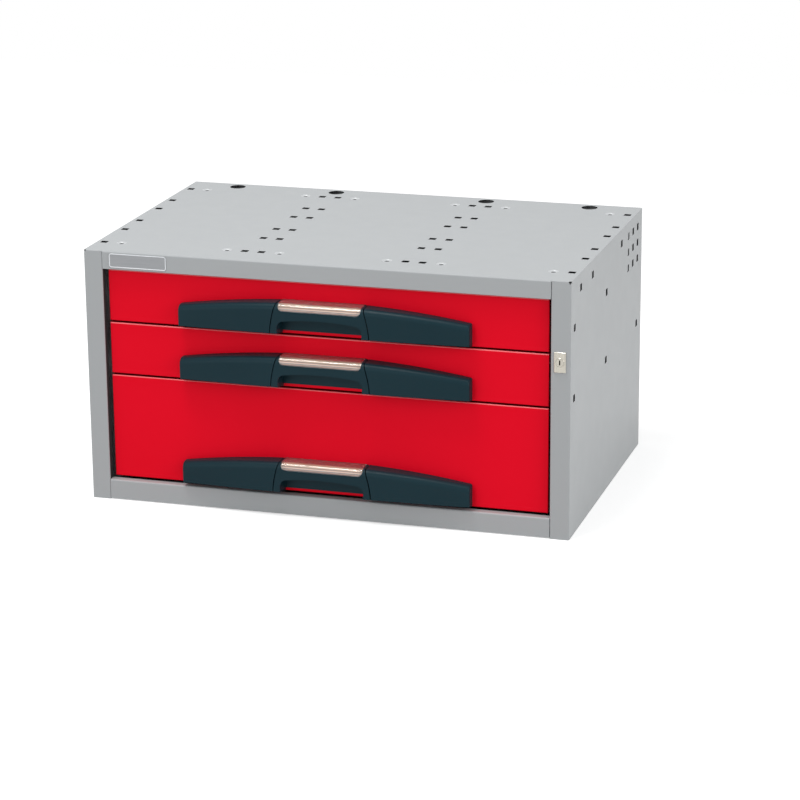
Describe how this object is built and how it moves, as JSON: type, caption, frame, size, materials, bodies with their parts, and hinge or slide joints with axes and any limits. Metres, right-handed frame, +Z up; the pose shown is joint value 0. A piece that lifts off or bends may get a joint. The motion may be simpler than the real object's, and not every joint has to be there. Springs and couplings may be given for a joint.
{
  "type": "modular drawer cabinet",
  "caption": "Low modular steel tool cabinet with wide full-extension drawers, bow handles with label windows, a common lock and joining holes for stacking.",
  "frame": {"origin": "on the floor in the middle of the whole footprint, handles included", "axes": "+X to the right seen from the front, +Y to the back, +Z up"},
  "size_m": [0.7, 0.468, 0.365],
  "materials": {
    "case_paint": "satin light grey powder coat",
    "drawer_paint": "smooth red powder coat",
    "pan_paint": "satin grey powder coat",
    "handle_plastic": "dark grey moulded plastic",
    "label_window": "clear polished plastic",
    "label_strip": "copper-pink card",
    "runner_steel": "bright zinc-plated steel",
    "cage_steel": "pressed zinc-plated steel",
    "lock_metal": "nickel plate",
    "badge_plate": "satin bright plate"
  },
  "bodies": {
    "case": {"left_side_panel": "case_paint", "right_side_panel": "case_paint", "top_panel": "case_paint", "bottom_panel": "case_paint", "back_panel": "case_paint", "uprights": "case_paint", "badge_plate": "badge_plate", "lock_housing": "lock_metal", "lock_bar_guides": "runner_steel", "bottom_left_cabinet_runner": "runner_steel", "bottom_right_cabinet_runner": "runner_steel", "middle_left_cabinet_runner": "runner_steel", "middle_right_cabinet_runner": "runner_steel", "top_left_cabinet_runner": "runner_steel", "top_right_cabinet_runner": "runner_steel"},
    "lock_plug": {"lock_cylinder": "lock_metal", "lock_cam": "runner_steel"},
    "lock_bar": {"lock_bar": "runner_steel"},
    "bottom_drawer": {"bottom_drawer_pan": "pan_paint", "bottom_drawer_front": "drawer_paint", "bottom_handle_bridge": "handle_plastic", "bottom_handle_left_cover": "handle_plastic", "bottom_handle_right_cover": "handle_plastic", "bottom_label_window": "label_window", "bottom_label_strip": "label_strip", "bottom_left_drawer_runner": "runner_steel", "bottom_right_drawer_runner": "runner_steel", "bottom_lock_catch": "runner_steel"},
    "bottom_middle_runners": {"bottom_left_middle_runner": "runner_steel", "bottom_right_middle_runner": "runner_steel"},
    "bottom_outer_cages": {"bottom_outer_ball_cages": "cage_steel"},
    "bottom_inner_cages": {"bottom_inner_ball_cages": "cage_steel"},
    "middle_drawer": {"middle_drawer_pan": "pan_paint", "middle_drawer_front": "drawer_paint", "middle_handle_bridge": "handle_plastic", "middle_handle_left_cover": "handle_plastic", "middle_handle_right_cover": "handle_plastic", "middle_label_window": "label_window", "middle_label_strip": "label_strip", "middle_left_drawer_runner": "runner_steel", "middle_right_drawer_runner": "runner_steel", "middle_lock_catch": "runner_steel"},
    "middle_middle_runners": {"middle_left_middle_runner": "runner_steel", "middle_right_middle_runner": "runner_steel"},
    "middle_outer_cages": {"middle_outer_ball_cages": "cage_steel"},
    "middle_inner_cages": {"middle_inner_ball_cages": "cage_steel"},
    "top_drawer": {"top_drawer_pan": "pan_paint", "top_drawer_front": "drawer_paint", "top_handle_bridge": "handle_plastic", "top_handle_left_cover": "handle_plastic", "top_handle_right_cover": "handle_plastic", "top_label_window": "label_window", "top_label_strip": "label_strip", "top_left_drawer_runner": "runner_steel", "top_right_drawer_runner": "runner_steel", "top_lock_catch": "runner_steel"},
    "top_middle_runners": {"top_left_middle_runner": "runner_steel", "top_right_middle_runner": "runner_steel"},
    "top_outer_cages": {"top_outer_ball_cages": "cage_steel"},
    "top_inner_cages": {"top_inner_ball_cages": "cage_steel"}
  },
  "joints": [
    {"name": "bottom_drawer_slide", "type": "slide", "parent": "case", "child": "bottom_drawer", "axis": [0, -1, 0], "range_m": [0, 0.4]},
    {"name": "bottom_middle_runners_slide", "type": "slide", "parent": "case", "child": "bottom_middle_runners", "axis": [0, -1, 0], "range_m": [0, 0.2]},
    {"name": "bottom_outer_cages_slide", "type": "slide", "parent": "case", "child": "bottom_outer_cages", "axis": [0, -1, 0], "range_m": [0, 0.1]},
    {"name": "bottom_inner_cages_slide", "type": "slide", "parent": "case", "child": "bottom_inner_cages", "axis": [0, -1, 0], "range_m": [0, 0.3]},
    {"name": "middle_drawer_slide", "type": "slide", "parent": "case", "child": "middle_drawer", "axis": [0, -1, 0], "range_m": [0, 0.4]},
    {"name": "middle_middle_runners_slide", "type": "slide", "parent": "case", "child": "middle_middle_runners", "axis": [0, -1, 0], "range_m": [0, 0.2]},
    {"name": "middle_outer_cages_slide", "type": "slide", "parent": "case", "child": "middle_outer_cages", "axis": [0, -1, 0], "range_m": [0, 0.1]},
    {"name": "middle_inner_cages_slide", "type": "slide", "parent": "case", "child": "middle_inner_cages", "axis": [0, -1, 0], "range_m": [0, 0.3]},
    {"name": "top_drawer_slide", "type": "slide", "parent": "case", "child": "top_drawer", "axis": [0, -1, 0], "range_m": [0, 0.4]},
    {"name": "top_middle_runners_slide", "type": "slide", "parent": "case", "child": "top_middle_runners", "axis": [0, -1, 0], "range_m": [0, 0.2]},
    {"name": "top_outer_cages_slide", "type": "slide", "parent": "case", "child": "top_outer_cages", "axis": [0, -1, 0], "range_m": [0, 0.1]},
    {"name": "top_inner_cages_slide", "type": "slide", "parent": "case", "child": "top_inner_cages", "axis": [0, -1, 0], "range_m": [0, 0.3]},
    {"name": "lock_turn", "type": "hinge", "parent": "case", "child": "lock_plug", "pos_m": [0.3355, -0.2, 0.2525], "axis": [0, 1, 0], "range_deg": [0, 90]},
    {"name": "lock_bar_slide", "type": "slide", "parent": "case", "child": "lock_bar", "axis": [0, 0, -1], "range_m": [0, 0.008]}
  ],
  "couplings": [
    {"joint": "bottom_middle_runners_slide", "follows": "bottom_drawer_slide", "ratio": 0.5},
    {"joint": "bottom_outer_cages_slide", "follows": "bottom_drawer_slide", "ratio": 0.25},
    {"joint": "bottom_inner_cages_slide", "follows": "bottom_drawer_slide", "ratio": 0.75},
    {"joint": "middle_middle_runners_slide", "follows": "middle_drawer_slide", "ratio": 0.5},
    {"joint": "middle_outer_cages_slide", "follows": "middle_drawer_slide", "ratio": 0.25},
    {"joint": "middle_inner_cages_slide", "follows": "middle_drawer_slide", "ratio": 0.75},
    {"joint": "top_middle_runners_slide", "follows": "top_drawer_slide", "ratio": 0.5},
    {"joint": "top_outer_cages_slide", "follows": "top_drawer_slide", "ratio": 0.25},
    {"joint": "top_inner_cages_slide", "follows": "top_drawer_slide", "ratio": 0.75},
    {"joint": "lock_turn", "follows": "lock_bar_slide", "rad_per_m": 196.35}
  ]
}
